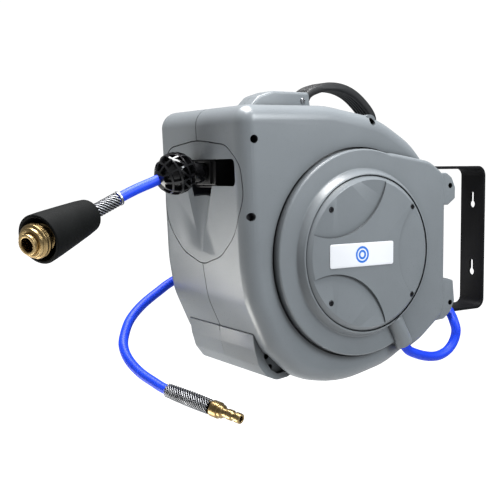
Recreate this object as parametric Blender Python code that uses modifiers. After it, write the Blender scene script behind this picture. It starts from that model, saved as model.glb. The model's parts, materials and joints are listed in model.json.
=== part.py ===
"""Wall-mounted retractable air hose reel.

Lengths are given in millimetres about the drum's axis and are scaled to metres where meshes are made.
The row's origin is the centre of the wall plate's back face: +X is the label side, -Y is away from the wall.
"""
import math

import bmesh
import bpy
from mathutils import Matrix, Vector

MM = 0.001
DRUM_AXIS = Vector((0.0, -296.0, 2.0)) * MM

# Housing
HALF_WIDTH = 98.0
EDGE = 18.0
WALL = 4.0
SEAM = 0.15
CAVITY_HALF = 87.0
PLATEAU = 107.5
PAD_RADIUS = 121.0
COVER_FACE = 120.0
COVER_RADIUS = 90.4
HOUSING = [(-163.5, 168.5, 20), (-40, 170.5, 120), (36, 158.5, 120), (88, 129.5, 100), (139, 76, 34),
           (139, -83, 30), (95, -118, 80), (48, -142, 100), (-20, -156, 150), (-85, -143, 100),
           (-124, -106, 60), (-149, -52, 80), (-156, -10, 100)]
REAR_PAD = [(0, 112, 0), (42, 116.5, 60), (105, 106.5, 40), (131, 90, 22), (131, -83, 22), (92, -112, 60),
            (66, -124, 6), (30, -98, 0)]
MOUTH = [(0, 133, 120), (64, 126, 30), (88.5, 107, 26), (91.5, 66, 60), (76, 26, 60), (44, 0, 50),
         (0, -13, 40), (-44, 0, 50), (-76, 26, 60), (-91.5, 66, 60), (-88.5, 107, 26), (-64, 126, 30)]
WINDOW_HALF_WIDTH = 80.0
WINDOW_LOW = 80.0
WINDOW_HIGH = 110.0
EXIT_HEIGHT = 95.0
SHELL_SCREWS = [(-146, 131), (23, 153)]
EDGE_SCREW = (-149, 47)
LUG_SCREWS = [(140, 76), (142, -71)]
COVER_SCREWS = [(-58, 52.7), (64, 52.7), (-58, -52.7), (64, -52.7)]

# Swivelling wall bracket
PIVOT_Y = 165.0
ROD_RADIUS = 6.0
BARREL_RADIUS = 14.0
BARREL_LOW = -95.0
BARREL_HIGH = 92.0
STRAP = 4.0
STRAP_HALF_WIDTH = 21.5
PLATE_BACK = 296.0
ARM_TOP = 100.0
ARM_BOTTOM = -103.0
KEYHOLES = (45.5, -52.0)

# Drum and hose
HOSE_RADIUS = 6.0
WRAP_RADIUS = 95.0
INNER_WRAP_RADIUS = 81.0
WRAP_PITCH = 12.9
DRUM_HALF_WIDTH = 66.0
BALL_RADIUS = 24.5
BALL_CENTRE = Vector((0, -190, 94.5))
GUIDE_OFFSET = 11.0
ROLLER_RADIUS = 4.4
CHANNEL_ANGLE = math.radians(-61)
CHANNEL_X = 107.0
OUTLET_PATH = [(0, -1, 95), (0, -60, 95), (0, -120, 95), (0, -172, 95), (0, -190, 94.3), (0, -204, 91),
               (0, -218, 85.4), (2, -238, 78.5), (4, -254, 72.2), (5.4, -266, 66.8), (8.5, -298, 52.3),
               (12.5, -306.5, 49.6)]
COUPLER_START = Vector((8.5, -298, 52.3))
COUPLER_AXIS = Vector((0.443, -0.859, -0.257)).normalized()
GUARD_START = Vector((5.4, -266, 66.8))
INLET_PATH = [(107, 45, -81.2), (107, 58, -104.6), (107, 62, -111.9), (107, 65.3, -117.8),
              (107.5, 71, -123.8), (108, 80, -128.2),
              (108, 94, -133), (108, 109, -136), (108, 122, -136), (108, 134, -132.5), (108, 143.5, -125.5),
              (108, 149.5, -116), (108, 151, -106), (104, 151.5, -97), (96, 155, -90), (84, 161, -85),
              (66, 173, -80), (42, 186, -78), (18, 194, -77), (0, 196, -77), (-18, 194, -77),
              (-42, 187, -78), (-66, 178, -80), (-92, 168, -83), (-113, 157, -83),
              (-127, 136, -80), (-134, 96, -66),
              (-136, 45, -46), (-136, -10, -34), (-133, -60, -31), (-127, -103, -37), (-120, -134, -47),
              (-116, -153, -56), (-110, -182, -72), (-102, -203, -88), (-91, -216, -104), (-79, -223, -116),
              (-64, -223.5, -129), (-48, -217, -142), (-32, -207, -152), (-12, -198, -159.5),
              (34, -180, -167.6)]
PLUG_START = Vector((34, -180, -167.6))


def columns(x_axis, y_axis, z_axis, origin=(0, 0, 0)):
    """Placement with the given local axes, its origin in millimetres from the drum's axis."""
    turn = Matrix((Vector(x_axis), Vector(y_axis), Vector(z_axis))).transposed().to_4x4()
    return Matrix.Translation(DRUM_AXIS + Vector(origin) * MM) @ turn


SIDE = columns((0, 1, 0), (0, 0, 1), (1, 0, 0))
FAR_SIDE = columns((0, 1, 0), (0, 0, -1), (-1, 0, 0))
FRONT = columns((1, 0, 0), (0, 0, 1), (0, -1, 0))
TOP = columns((1, 0, 0), (0, 1, 0), (0, 0, 1))


def along(origin, direction):
    """Placement whose local +Z runs along a direction from an origin."""
    turn = Vector(direction).to_track_quat('Z', 'Y').to_matrix().to_4x4()
    return Matrix.Translation(DRUM_AXIS + Vector(origin) * MM) @ turn


def clear_scene():
    for obj in list(bpy.data.objects):
        bpy.data.objects.remove(obj, do_unlink=True)


def collection(name):
    made = bpy.data.collections.new(name)
    bpy.context.scene.collection.children.link(made)
    return made


def material(name, colour, roughness, metallic=0.0):
    made = bpy.data.materials.new(name)
    made.use_nodes = True
    shader = made.node_tree.nodes['Principled BSDF']
    shader.inputs['Base Color'].default_value = (*colour, 1.0)
    shader.inputs['Roughness'].default_value = roughness
    shader.inputs['Metallic'].default_value = metallic
    made.diffuse_color = (*colour, 1.0)
    return made


def corner(before, point, after, radius, step_degrees=14):
    """Points of the arc that rounds one corner of an outline."""
    point = Vector(point)
    inward = Vector(before) - point
    outward = Vector(after) - point
    half = inward.angle(outward) / 2
    if radius <= 0 or half > math.radians(89.5):
        return [tuple(point)]
    reach = min(radius / math.tan(half), 0.48 * inward.length, 0.48 * outward.length)
    radius = reach * math.tan(half)
    middle = point + (inward.normalized() + outward.normalized()).normalized() * radius / math.sin(half)
    start = point + inward.normalized() * reach - middle
    end = point + outward.normalized() * reach - middle
    sweep = start.angle_signed(end)
    count = max(1, round(abs(math.degrees(sweep)) / step_degrees))
    turned = []
    for i in range(count + 1):
        angle = -sweep * i / count
        turned.append((middle.x + start.x * math.cos(angle) - start.y * math.sin(angle),
                       middle.y + start.x * math.sin(angle) + start.y * math.cos(angle)))
    return turned


def rounded(points, step_degrees=22):
    """Outline through (a, b, radius) corners, each rounded by its own radius."""
    outline = []
    for i, (a, b, radius) in enumerate(points):
        before = points[i - 1][:2]
        after = points[(i + 1) % len(points)][:2]
        outline += corner(before, (a, b), after, radius, step_degrees)
    return outline


def box_outline(low_a, high_a, low_b, high_b, radius=0.0, step_degrees=30):
    return rounded([(low_a, low_b, radius), (high_a, low_b, radius), (high_a, high_b, radius),
                    (low_a, high_b, radius)], step_degrees)


def circle_outline(radius, a=0.0, b=0.0, count=32):
    turns = [2 * math.pi * (i + 0.37) / count for i in range(count)]
    return [(a + radius * math.cos(turn), b + radius * math.sin(turn)) for turn in turns]


def mesh_object(name, mesh, placement=None):
    made = bpy.data.objects.new(name, mesh)
    bpy.context.scene.collection.objects.link(made)
    if placement is not None:
        made.matrix_world = placement
    return made


def solid_of(curve_object):
    """Closed mesh object made from a curve object, which it replaces."""
    bpy.context.view_layer.update()
    evaluated = curve_object.evaluated_get(bpy.context.evaluated_depsgraph_get())
    mesh = bpy.data.meshes.new_from_object(evaluated)
    work = bmesh.new()
    work.from_mesh(mesh)
    bmesh.ops.remove_doubles(work, verts=work.verts, dist=1e-6)
    bmesh.ops.recalc_face_normals(work, faces=work.faces)
    work.to_mesh(mesh)
    work.free()
    name = curve_object.name
    placement = curve_object.matrix_world.copy()
    bpy.data.objects.remove(curve_object, do_unlink=True)
    mesh.name = name
    return mesh_object(name, mesh, placement)


def slab(name, outlines, low, high, frame, edge=0.0, edge_steps=2, grow=0.0):
    """Plate bounded by closed outlines between two depths, its edges rounded by edge."""
    data = bpy.data.curves.new(name, 'CURVE')
    data.dimensions = '2D'
    data.fill_mode = 'BOTH'
    data.extrude = ((high - low) / 2 - edge) * MM
    data.bevel_depth = edge * MM
    data.bevel_resolution = edge_steps
    data.offset = (grow - edge) * MM
    for outline in outlines:
        spline = data.splines.new('POLY')
        spline.points.add(len(outline) - 1)
        for point, (a, b) in zip(spline.points, outline):
            point.co = (a * MM, b * MM, 0.0, 1.0)
        spline.use_cyclic_u = True
    obj = bpy.data.objects.new(name, data)
    bpy.context.scene.collection.objects.link(obj)
    obj.matrix_world = frame @ Matrix.Translation((0, 0, (low + high) / 2 * MM))
    return solid_of(obj)


def lathe(name, profile, frame, steps=32, ring=False):
    """Turned solid from (radius, height) points that run down its outer side."""
    mesh = bpy.data.meshes.new(name)
    verts = [(radius * MM, 0.0, height * MM) for radius, height in profile]
    edges = [(i, i + 1) for i in range(len(profile) - 1)]
    if ring:
        edges.append((len(profile) - 1, 0))
    mesh.from_pydata(verts, edges, [])
    obj = mesh_object(name, mesh, frame)
    turn = obj.modifiers.new('Turn', 'SCREW')
    turn.axis = 'Z'
    turn.angle = 2 * math.pi
    turn.steps = steps
    turn.render_steps = steps
    turn.use_merge_vertices = True
    turn.merge_threshold = 0.00001
    turn.use_smooth_shade = True
    return obj


def smooth_path(points, steps):
    """Catmull-Rom curve through the points, with a number of steps for each span."""
    knots = [Vector(point) for point in points]
    knots = [knots[0] * 2 - knots[1]] + knots + [knots[-1] * 2 - knots[-2]]
    path = []
    for i in range(1, len(knots) - 2):
        a, b, c, d = knots[i - 1:i + 3]
        for k in range(steps):
            t = k / steps
            path.append(0.5 * (2 * b + (c - a) * t + (2 * a - 5 * b + 4 * c - d) * t ** 2
                               + (3 * b - a - 3 * c + d) * t ** 3))
    path.append(knots[-2])
    return path


def tube(name, path, radius, frame=TOP, resolution=2, radii=None):
    """Round rod along a path of points, closed at both ends."""
    data = bpy.data.curves.new(name, 'CURVE')
    data.dimensions = '3D'
    data.bevel_depth = radius * MM
    data.bevel_resolution = resolution
    data.use_fill_caps = True
    spline = data.splines.new('POLY')
    spline.points.add(len(path) - 1)
    for i, point in enumerate(path):
        spline.points[i].co = (*(Vector(point) * MM), 1.0)
        if radii:
            spline.points[i].radius = radii[i]
    obj = bpy.data.objects.new(name, data)
    bpy.context.scene.collection.objects.link(obj)
    obj.matrix_world = frame
    return solid_of(obj)


def boolean(obj, other, operation):
    change = obj.modifiers.new(operation.title(), 'BOOLEAN')
    change.operation = operation
    change.solver = 'EXACT'
    change.object = other
    other.display_type = 'WIRE'
    other.hide_render = True
    for home in list(other.users_collection):
        home.objects.unlink(other)
    CUTTERS.objects.link(other)


def add(obj, other):
    boolean(obj, other, 'UNION')


def cut(obj, other):
    boolean(obj, other, 'DIFFERENCE')


def keep(obj, other):
    boolean(obj, other, 'INTERSECT')


def finish(obj, look, body, smooth_angle=32):
    """Put a piece in the reel's collection with its material, shading and body."""
    obj.data.materials.clear()
    obj.data.materials.append(look)
    for home in list(obj.users_collection):
        home.objects.unlink(obj)
    REEL.objects.link(obj)
    if len(obj.data.polygons):
        obj.data.shade_smooth()
        obj.data.set_sharp_from_angle(angle=math.radians(smooth_angle))
    if body is not None:
        bpy.context.view_layer.update()
        placement = obj.matrix_world.copy()
        obj.parent = body
        obj.matrix_world = placement
    return obj


def body_empty(name, origin, parent=None):
    """Empty on a joint's axis that carries one rigid body."""
    made = bpy.data.objects.new(name, None)
    made.empty_display_size = 0.02
    REEL.objects.link(made)
    made.matrix_world = Matrix.Translation(DRUM_AXIS + Vector(origin) * MM)
    if parent is not None:
        bpy.context.view_layer.update()
        placement = made.matrix_world.copy()
        made.parent = parent
        made.matrix_world = placement
    return made


def signed(low, high, sign):
    return sorted((low * sign, high * sign))


def side_frame(sign):
    return SIDE if sign > 0 else FAR_SIDE


def channel_frame():
    return along((CHANNEL_X, 0, 0), (0, math.cos(CHANNEL_ANGLE), math.sin(CHANNEL_ANGLE)))


def add_rear_barrel(shell, tag):
    """Vertical barrel behind the shell that the bracket's rod runs through."""
    web = slab(tag + '_web', [box_outline(-9, 9, 120, PIVOT_Y)], BARREL_LOW + 3, BARREL_HIGH - 3, TOP)
    barrel = lathe(tag + '_barrel', [(0, BARREL_HIGH), (BARREL_RADIUS, BARREL_HIGH),
                                     (BARREL_RADIUS, BARREL_LOW), (0, BARREL_LOW)],
                   columns((1, 0, 0), (0, 1, 0), (0, 0, 1), (0, PIVOT_Y, 0)), 24)
    add(shell, web)
    add(shell, barrel)


def add_top_bosses(shell, tag):
    """Bosses on the seam that hold the two ends of the handle."""
    front = [(-103, 160, 0), (-97, 174, 8), (-86, 185, 12), (-66, 191.5, 14), (-12, 191.5, 4), (-8, 160, 0)]
    rear = [(62, 126, 0), (76, 154, 6), (118, 152, 6), (124, 100, 0)]
    add(shell, slab(tag + '_front_boss', [rounded(front)], -17, 17, SIDE, 3.0))
    add(shell, slab(tag + '_rear_boss', [rounded(rear)], -15, 15, SIDE, 2.5))


def add_front_foot(shell, tag, sign):
    """Block across the lower front with pockets for two clamping screws at each end."""
    foot = [(-120, -84, 0), (-134, -87, 1.5), (-131.5, -106, 20), (-126, -124, 14), (-115, -138, 10),
            (-101, -144, 14), (-84, -142, 10), (-60, -120, 0)]
    pocket = [(-121, -101, 2), (-118, -118, 8), (-109, -131, 6), (-100, -136.5, 6), (-88, -135, 6),
              (-95, -118, 2), (-112, -98, 2)]
    add(shell, slab(tag + '_foot', [rounded(foot)], -73, 73, SIDE, 1.2, 1))
    low, high = signed(60, 80, sign)
    cut(shell, slab(tag + '_pocket', [rounded(pocket)], low, high, SIDE))
    low, high = signed(50, 62, sign)
    holes = [circle_outline(3.3, -113.5, -115.5, 12), circle_outline(3.3, -108.5, -128, 12)]
    cut(shell, slab(tag + '_foot_holes', holes, low, high, SIDE))


def add_screw_holes(shell, tag, sign):
    """Deep screw holes in posts, and in the rear lugs."""
    posts = [circle_outline(8.5, a, b, 14) for a, b in SHELL_SCREWS]
    low, high = signed(0, 90, sign)
    add(shell, slab(tag + '_posts', posts, low, high, SIDE))
    holes = [circle_outline(4.6, a, b, 16) for a, b in SHELL_SCREWS]
    low, high = signed(70, 115, sign)
    cut(shell, slab(tag + '_holes', holes, low, high, SIDE))
    low, high = signed(84, 115, sign)
    cut(shell, slab(tag + '_edge_hole', [circle_outline(4.6, *EDGE_SCREW, 16)], low, high, SIDE))
    holes = [circle_outline(3.4, a, b, 12) for a, b in LUG_SCREWS]
    low, high = signed(82, 115, sign)
    cut(shell, slab(tag + '_lug_holes', holes, low, high, SIDE))


def make_shell(name, sign):
    """One half of the housing, from the seam outwards."""
    shell = slab(name, [rounded(HOUSING)], -HALF_WIDTH, HALF_WIDTH, SIDE, EDGE, 2)
    frame = side_frame(sign)
    disc = [(0, 116.4), (92.8, 116.4), (98, PLATEAU), (119.7, PLATEAU),
            (PAD_RADIUS, 106.2), (PAD_RADIUS, 84), (0, 84)]
    steps = 48 if sign > 0 else 36
    add(shell, lathe(name + '_disc', disc, frame, steps))
    groove = [(PAD_RADIUS + 2.4, 110), (PAD_RADIUS + 2.4, 94), (PAD_RADIUS, 94), (PAD_RADIUS, 110)]
    cut(shell, lathe(name + '_groove', groove, frame, steps, ring=True))
    low, high = signed(60, PLATEAU - 0.06, sign)
    add(shell, slab(name + '_rear_pad', [rounded(REAR_PAD)], low, high, SIDE, 5.0, 2))
    lugs = [[(118, 92, 0), (134, 92, 6), (143, 86, 7), (149, 74, 4), (149, 60, 3), (137, 52, 0), (118, 52, 0)],
            [(118, -40, 0), (137, -40, 0), (147, -43, 3), (150, -70, 5), (143, -83, 6), (132, -91, 6),
             (118, -92, 0)]]
    low, high = signed(60, PLATEAU - 1.4, sign)
    add(shell, slab(name + '_lugs', [rounded(lug) for lug in lugs], low, high, SIDE, 1.5, 1))
    low, high = signed(104, 130, sign)
    cut(shell, slab(name + '_seat', [circle_outline(91.2, count=steps)], low, high, SIDE))
    add_rear_barrel(shell, name)
    add_top_bosses(shell, name)
    add_front_foot(shell, name, sign)
    cut(shell, slab(name + '_cavity', [rounded(HOUSING, 40)], -CAVITY_HALF, CAVITY_HALF, SIDE, grow=-WALL))
    cut(shell, slab(name + '_bay', [circle_outline(110, count=20)], -96, 96, SIDE))
    cut(shell, slab(name + '_axle_bore', [circle_outline(10.2, count=26)], -110, 110, SIDE))
    add_screw_holes(shell, name, sign)
    cut(shell, slab(name + '_mouth', [rounded(MOUTH)], 120, 200, FRONT))
    cut(shell, slab(name + '_handle_slots', [box_outline(-19, -6, 176, 196), box_outline(84, 106, 140, 170)],
                    -13.6, 13.6, SIDE))
    if sign > 0:
        add(shell, lathe(name + '_channel', [(0, 131), (9.4, 131), (11, 129.6), (11, 91.5), (0, 91.5)],
                         channel_frame(), 32))
        cut(shell, slab(name + '_hose_bore', [circle_outline(7.5, count=18)], 8, 165, channel_frame()))
    cut(shell, slab(name + '_rod_bore', [circle_outline(ROD_RADIUS + 0.08, 0, PIVOT_Y, 28)], -120, 120, TOP))
    low, high = signed(SEAM, 160, sign)
    keep(shell, slab(name + '_half', [box_outline(-260, 260, -260, 260)], low, high, SIDE))
    return shell


def make_mouth_panel():
    """Panel let into the front of both halves, with the outlet window and the scoop below it."""
    panel = slab('mouth_panel', [rounded(HOUSING)], -HALF_WIDTH + 1, HALF_WIDTH - 1, SIDE,
                 EDGE - 1, 2, grow=-1.0)
    cut(panel, slab('panel_cavity', [rounded(HOUSING, 40)], -CAVITY_HALF, CAVITY_HALF, SIDE, grow=-WALL))
    centre_top = Vector((0, -198, 80))
    centre_low = Vector((0, -157.5, -8))
    rise = centre_top - centre_low
    frame = along(centre_low, rise)
    length = rise.length
    back = lathe('scoop_back', [(0, length - 30), (42.5, length - 30), (5.5, -5), (0, -5)], frame, 24)
    keep(back, slab('scoop_back_trim', [rounded(HOUSING)], -80, 80, SIDE, grow=-1.3))
    add(panel, back)
    cut(panel, lathe('scoop', [(0, length * 1.1), (60.5, length * 1.1), (0.4, 0), (0, 0)],
                     frame @ Matrix.Rotation(math.radians(4), 4, 'Z'), 30))
    window = box_outline(-WINDOW_HALF_WIDTH, WINDOW_HALF_WIDTH, WINDOW_LOW, WINDOW_HIGH, 6)
    cut(panel, slab('window', [window], 110, 210, FRONT))
    keep(panel, slab('panel_edge', [rounded(MOUTH)], 128, 190, FRONT, grow=-0.35))
    return panel


def make_cover(name, sign):
    """Round cover with three sunken lens-shaped areas on its face."""
    frame = side_frame(sign)
    rim = COVER_RADIUS
    profile = [(0, COVER_FACE), (84, COVER_FACE), (86.5, 119), (rim, 115.2), (rim, 104.4),
               (87.4, 104.4), (87.4, 113.6), (0, 113.6)]
    cover = lathe(name, profile, frame, 48 if sign > 0 else 28)
    lenses = (('upper', 118.8, 114.1, 79.5, 3.4), ('lower', 241.2, 114.1, 79.5, 3.4),
              ('side', 0, 114.6, 72.6, 1.3))
    for tag, angle, reach, radius, depth in lenses:
        turn = math.radians(angle)
        away = Vector((0, math.cos(turn), math.sin(turn)))
        near_edge = reach - radius
        slope = depth / (84 - near_edge)
        normal = (Vector((sign, 0, 0)) - away * slope).normalized()
        origin = away * reach + Vector((sign, 0, 0)) * (COVER_FACE - depth + slope * radius)
        cut(cover, lathe(f'{name}_{tag}_lens', [(0, 20), (radius, 20), (radius, 0), (0, 0)],
                         along(origin, normal), 48 if sign > 0 else 20))
    low, high = signed(COVER_FACE - 2.6, COVER_FACE + 5, sign)
    sinks = [circle_outline(3.5, a, b, 12) for a, b in COVER_SCREWS]
    cut(cover, slab(name + '_sinks', sinks, low, high, SIDE))
    low, high = signed(100, COVER_FACE, sign)
    drills = [circle_outline(1.7, a, b, 8) for a, b in COVER_SCREWS]
    cut(cover, slab(name + '_drills', drills, low, high, SIDE))
    if sign > 0:
        cut(cover, slab(name + '_notch', [circle_outline(6.5, count=22)], 30, 100, channel_frame()))
    return cover


SCREW_TURN = Matrix.Rotation(math.radians(10), 4, 'Z')


def make_screw(name, frame, head_radius, head_height, shank_radius, length, cross=True):
    """Cross-head screw whose head's top is at its local origin."""
    screw = lathe(name, [(0, 0), (head_radius * 0.8, 0), (head_radius, -head_height * 0.35),
                         (head_radius, -head_height), (shank_radius, -head_height), (shank_radius, -length),
                         (0, -length)], frame, 8)
    if not cross:
        return screw
    arm = head_radius * 0.62
    for tag, a, b in (('long', arm, arm * 0.25), ('cross', arm * 0.25, arm)):
        cut(screw, slab(f'{name}_{tag}', [box_outline(-a, a, -b, b)], -head_height * 0.6, 2,
                        frame @ SCREW_TURN))
    return screw


def make_handle():
    """Carrying handle, its ends let into the two top bosses."""
    spine = [(-13, 183), (-8, 190), (3, 195.5), (22, 200), (44, 199), (64, 192), (82, 179),
             (94, 165), (96, 150)]
    path = smooth_path([(a, b, 0) for a, b in spine], 2)
    upper = []
    lower = []
    for i, point in enumerate(path):
        ahead = path[min(i + 1, len(path) - 1)] - path[max(i - 1, 0)]
        normal = Vector((-ahead.y, ahead.x, 0)).normalized()
        upper.append(tuple((point + normal * 5.6)[:2]))
        lower.append(tuple((point - normal * 5.2)[:2]))
    handle = slab('handle', [upper + lower[::-1]], -13.2, 13.2, SIDE, 1.8, 1)
    return handle


def make_bracket():
    """Steel strap bent to a C, with keyholes for the wall and holes for the rod."""
    back, front, arm_top, arm_bottom = PLATE_BACK, PIVOT_Y - STRAP_HALF_WIDTH, ARM_TOP, ARM_BOTTOM
    inner = back - STRAP
    outline = [(front, arm_top, 0), (back, arm_top, 14), (back, arm_bottom, 14), (front, arm_bottom, 0),
               (front, arm_bottom + STRAP, 0), (inner, arm_bottom + STRAP, 10), (inner, arm_top - STRAP, 10),
               (front, arm_top - STRAP, 0)]
    bracket = slab('wall_bracket', [rounded(outline, 24)], -STRAP_HALF_WIDTH, STRAP_HALF_WIDTH, SIDE)
    plan = [(-STRAP_HALF_WIDTH, front, 21), (STRAP_HALF_WIDTH, front, 21),
            (STRAP_HALF_WIDTH + 1, back + 9, 0), (-STRAP_HALF_WIDTH - 1, back + 9, 0)]
    keep(bracket, slab('bracket_plan', [rounded(plan, 24)], -120, 120, TOP))
    rod_hole = circle_outline(ROD_RADIUS + 0.1, 0, PIVOT_Y, 24)
    cut(bracket, slab('bracket_rod_holes', [rod_hole], -130, 130, TOP))
    for i, height in enumerate(KEYHOLES):
        head = circle_outline(5.3, 0, height, 24)
        neck = rounded([(-3, height, 0), (3, height, 0), (3, height + 18, 2.9), (-3, height + 18, 2.9)])
        cut(bracket, slab(f'keyhole_head{i}', [head], -PLATE_BACK - 8, -PLATE_BACK + 18, FRONT))
        cut(bracket, slab(f'keyhole_neck{i}', [neck], -PLATE_BACK - 8, -PLATE_BACK + 18, FRONT))
    return bracket


def make_pivot(look_steel, body):
    upright = columns((1, 0, 0), (0, 1, 0), (0, 0, 1), (0, PIVOT_Y, 0))
    head_rest = ARM_TOP + 0.2
    profile = [(0, 107), (8.5, 107), (9.5, 106), (9.5, head_rest), (ROD_RADIUS, head_rest),
               (ROD_RADIUS, -112), (0, -112)]
    rod = lathe('pivot_rod', profile, upright, 24)
    finish(rod, look_steel, body)
    hexagon = circle_outline(9.6, 0, PIVOT_Y, 6)
    nut_hole = circle_outline(ROD_RADIUS + 0.1, 0, PIVOT_Y, 24)
    nut = slab('pivot_nut', [hexagon, nut_hole], ARM_BOTTOM - 6.6, ARM_BOTTOM - 0.2, TOP)
    finish(nut, look_steel, body)
    for name, low in (('washer_top', BARREL_HIGH + 0.3), ('washer_bottom', ARM_BOTTOM + STRAP + 0.3)):
        ring = [(12.5, low + 3.4), (12.5, low), (ROD_RADIUS + 0.2, low), (ROD_RADIUS + 0.2, low + 3.4)]
        finish(lathe(name, ring, upright, 16, ring=True), look_steel, body)


def make_guide(looks, housing):
    """Guide frame behind the window with four rollers round the hose."""
    outlines = [box_outline(-24, 24, 77.5, 112.5, 2), box_outline(-16.2, 16.2, 79.6, 110.4, 1)]
    frame = slab('guide_frame', outlines, 118.5, 150, FRONT)
    level = (-142, (1, 0, 0), (0, 0, 1), 15.8, 20)
    upright = (-129, (0, 0, 1), (1, 0, 0), 15.0, 17)
    for name, row, sign in (('top', level, 1), ('bottom', level, -1),
                            ('near', upright, 1), ('far', upright, -1)):
        y, axis, aside, half, pin_half = row
        spot = Vector((0, y, EXIT_HEIGHT)) + Vector(aside) * sign * GUIDE_OFFSET
        place = along(spot, axis)
        reach = pin_half + 0.2
        cut(frame, lathe(f'guide_bore_{name}', [(0, reach), (1.6, reach), (1.6, -reach), (0, -reach)],
                         place, 12))
        pin = lathe(f'roller_pin_{name}', [(0, pin_half), (1.5, pin_half), (1.5, -pin_half), (0, -pin_half)],
                    place, 12)
        finish(pin, looks['steel'], housing)
        end = ROLLER_RADIUS
        ring = [(end - 0.4, half), (end, half - 1), (end, -half + 1), (end - 0.4, -half),
                (1.56, -half), (1.56, half)]
        roller = lathe(f'roller_{name}', ring, place, 12, ring=True)
        finish(roller, looks['nylon'], body_empty(f'body_roller_{name}', spot, housing))
    finish(frame, looks['black'], housing)


def make_ball(look, body):
    """Stop ball in two clamped halves with a lattice of sunken pockets."""
    exit_axis = Vector((0, -0.94, -0.34)).normalized()
    for name, sign in (('stop_ball_near', 1), ('stop_ball_far', -1)):
        mesh = bpy.data.meshes.new(name)
        work = bmesh.new()
        bmesh.ops.create_uvsphere(work, u_segments=16, v_segments=9, radius=BALL_RADIUS * MM)
        pockets = [face for face in work.faces if abs(face.calc_center_median().z) < 0.72 * BALL_RADIUS * MM]
        bmesh.ops.inset_individual(work, faces=pockets, thickness=1.5 * MM, depth=-3.2 * MM)
        work.to_mesh(mesh)
        work.free()
        ball = mesh_object(name, mesh, along(BALL_CENTRE, exit_axis))
        cut(ball, tube(name + '_bore', smooth_path(OUTLET_PATH, 2)[5:17], HOSE_RADIUS + 0.5, TOP, 2))
        low, high = signed(0.1, 40, sign)
        keep(ball, slab(name + '_half', [box_outline(-240, -140, 50, 140)], low, high, SIDE))
        finish(ball, look, body, 25)


def coil(name, frame, length, turns, radii, wire, steps):
    """Close-wound coil along local +Z whose radius follows the given list from end to end."""
    path = []
    count = turns * steps
    for i in range(count + 1):
        t = i / count
        place = t * (len(radii) - 1)
        k = min(int(place), len(radii) - 2)
        radius = radii[k] + (radii[k + 1] - radii[k]) * (place - k)
        angle = 2 * math.pi * i / steps
        path.append((radius * math.cos(angle), radius * math.sin(angle), length * t))
    return tube(name, path, wire, frame, 0)


def make_outlet(looks, body):
    """Outlet hose with its guard, rubber boot and quick coupler."""
    hose = tube('outlet_hose', smooth_path(OUTLET_PATH, 2), HOSE_RADIUS, TOP, 2)
    finish(hose, looks['hose'], body)
    guard_axis = COUPLER_START - GUARD_START
    guard = coil('outlet_guard', along(GUARD_START, guard_axis), 36.5, 7, [7.3, 7.3], 0.9, 8)
    finish(guard, looks['steel'], body)
    collar_frame = along(GUARD_START - guard_axis.normalized() * 4.2, guard_axis)
    collar = [(7.6, 2.9), (8.3, 2.3), (8.3, 0.4), (7.8, 0), (6.3, 0), (6.3, 2.9)]
    finish(lathe('outlet_collar', collar, collar_frame, 18, ring=True), looks['steel'], body)
    frame = along(COUPLER_START, COUPLER_AXIS)
    boot = [(23.6, 84.7), (25.6, 84), (26.2, 82), (24.4, 60), (21.5, 36), (19.8, 18), (17.8, 5), (14.5, 1.4),
            (11.5, 1.2), (11.5, 6), (16.8, 24), (18.2, 50), (22.4, 84)]
    finish(lathe('rubber_boot', boot, frame, 24, ring=True), looks['rubber'], body)
    shape = [(0, 52), (7.4, 52), (7.4, 99.8), (7.9, 101), (10.0, 101), (10.9, 100), (10.9, 78), (12.5, 77),
             (14.5, 76), (14.5, 62), (12.5, 61), (12.5, 16), (0, 16)]
    coupler = lathe('coupler_body', shape, frame, 22)
    finish(coupler, looks['brass'], body)
    sleeve_body = body_empty('body_release_sleeve', COUPLER_START + COUPLER_AXIS * 90, body)
    sleeve = [(14.2, 96.5), (15.6, 95.4), (15.6, 93), (17.2, 92.2), (18.1, 91), (18.1, 89),
              (17.2, 88.4), (17.2, 87.4), (18.1, 86.8), (18.1, 84.5), (17.2, 83.4),
              (11.05, 83.4), (11.05, 96.5)]
    finish(lathe('release_sleeve', sleeve, frame, 24, ring=True), looks['brass'], sleeve_body)
    poppet_body = body_empty('body_valve_poppet', COUPLER_START + COUPLER_AXIS * 70, body)
    poppet = [(0, 84), (3, 84), (7.0, 80), (7.0, 74), (3.2, 72), (3.2, 66), (0, 66)]
    finish(lathe('valve_poppet', poppet, frame, 20), looks['black'], poppet_body)


def make_inlet(looks, body):
    """Fixed inlet hose that runs round behind the reel to its guard and plug."""
    hose = tube('inlet_hose', smooth_path(INLET_PATH, 2), HOSE_RADIUS, TOP, 1)
    finish(hose, looks['hose'], body)
    start = Vector(INLET_PATH[-2])
    axis = PLUG_START - start
    frame = along(start, axis)
    finish(coil('inlet_guard', frame, 64, 10, [7.6, 8.2, 8.6, 8.6, 8.2], 1.0, 8), looks['steel'], body)
    plug_frame = along(start + axis.normalized() * 68, axis)
    plug = [(0, 12), (3.4, 12), (3.4, 40), (5.6, 40), (6.0, 39), (6.0, 33), (4.8, 31.6), (4.8, 29.4),
            (6.2, 28), (6.2, 22), (5.4, 21), (5.4, 16), (7.2, 15), (8.0, 14), (8.0, 10.5),
            (9.6, 9.6), (9.6, 0), (0, 0)]
    finish(lathe('inlet_plug', plug, plug_frame, 18), looks['brass'], body)


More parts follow.
